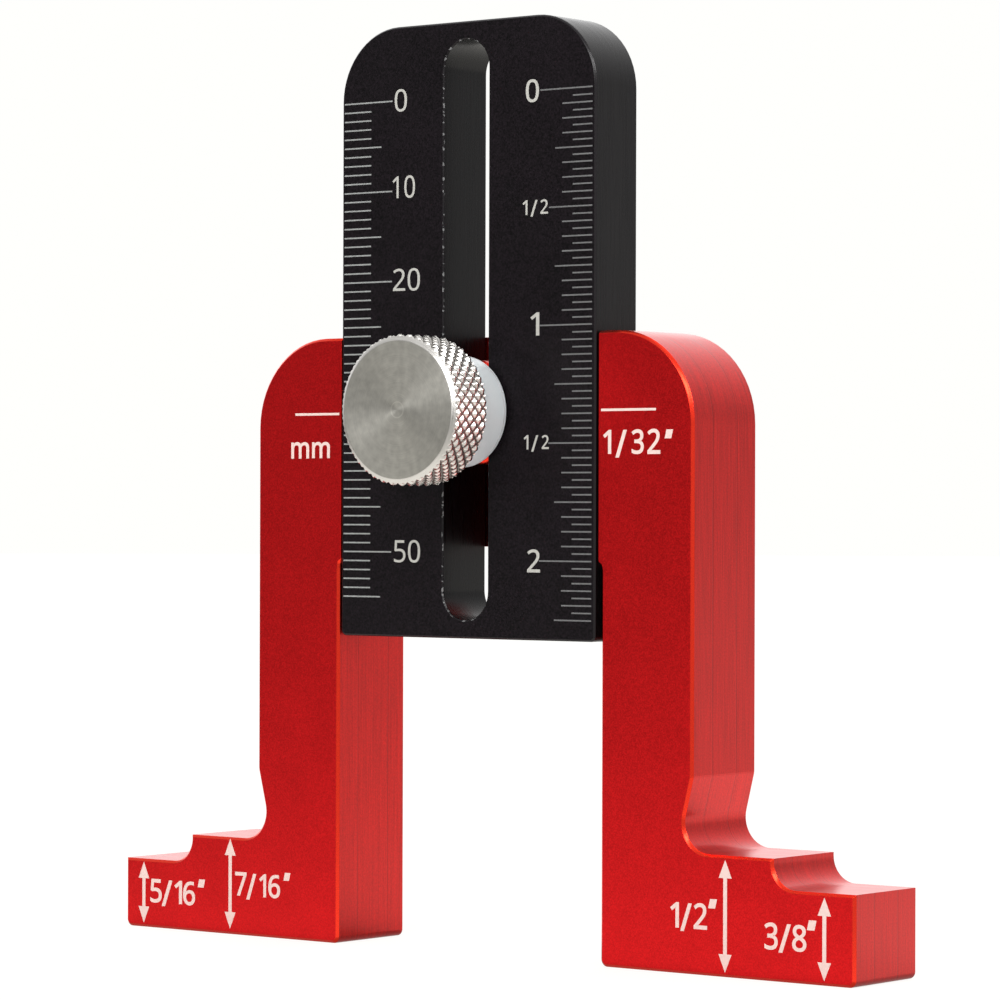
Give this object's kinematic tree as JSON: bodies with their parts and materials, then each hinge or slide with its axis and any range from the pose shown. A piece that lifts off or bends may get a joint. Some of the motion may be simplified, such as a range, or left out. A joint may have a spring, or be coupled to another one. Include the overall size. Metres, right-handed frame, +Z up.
{
  "type": "height gauge",
  "caption": "Bridge-shaped height gauge: a milled frame on stepped feet guides a slotted scale plate, clamped by a knurled thumb screw through a thick collar.",
  "frame": {"origin": "centre of the box around the whole gauge, on the surface that its two feet stand on", "axes": "+Z up along the travel of the scale plate; -Y towards the reader, the side with scale and knob; +X to the reader's right"},
  "size_m": [0.1016, 0.0236, 0.1022],
  "materials": {
    "red_anodised": "satin bead-blasted red anodising",
    "black_anodised": "satin black anodising",
    "stainless_steel": "turned and knurled, bare",
    "white_nylon": "smooth natural nylon"
  },
  "bodies": {
    "frame": {"bridge_frame": "red_anodised"},
    "slide": {"scale_slide": "black_anodised"},
    "collar": {"nylon_collar": "white_nylon"},
    "screw": {"thumb_screw": "stainless_steel"}
  },
  "joints": [
    {"name": "scale_travel", "type": "slide", "parent": "frame", "child": "slide", "axis": [0, 0, 1], "range_m": [-0.0346, 0.0166]},
    {"name": "clamp_backoff", "type": "slide", "parent": "frame", "child": "collar", "axis": [0, -1, 0], "range_m": [0, 0.0014]},
    {"name": "clamp_turn", "type": "hinge", "parent": "collar", "child": "screw", "pos_m": [0, -0.0001, 0.0594], "axis": [0, -1, 0], "range_deg": [0, 720]}
  ],
  "couplings": [
    {"joint": "clamp_backoff", "follows": "clamp_turn", "m_per_rad": 0.0001114}
  ]
}
